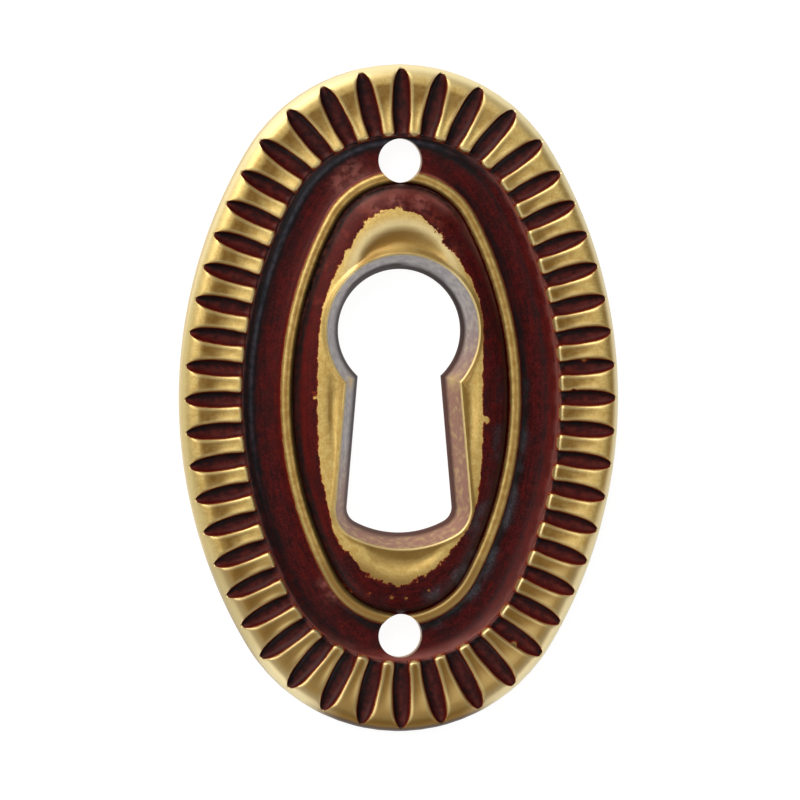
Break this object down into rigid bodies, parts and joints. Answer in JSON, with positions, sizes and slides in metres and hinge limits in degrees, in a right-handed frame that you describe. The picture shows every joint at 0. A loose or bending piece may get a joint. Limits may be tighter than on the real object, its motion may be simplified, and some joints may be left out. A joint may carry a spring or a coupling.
{
  "type": "keyhole escutcheon",
  "caption": "Oval pressed-brass keyhole plate with a fluted border, a bead ring and a raised lip round the keyhole, held by nails above and below it.",
  "frame": {"origin": "centre of the back plane, where the turned-down rim meets the wood", "axes": "+Z out of the front face; +Y along the oval towards the keyhole's round end; +X to the right seen from the front"},
  "size_m": [0.0252, 0.038, 0.0026],
  "materials": {
    "antiqued_brass": "pressed brass, antiqued: dark red to black lacquer left in the recesses, raised parts rubbed back to satin brass"
  },
  "bodies": {
    "root": {"escutcheon_plate": "antiqued_brass"}
  },
  "joints": []
}
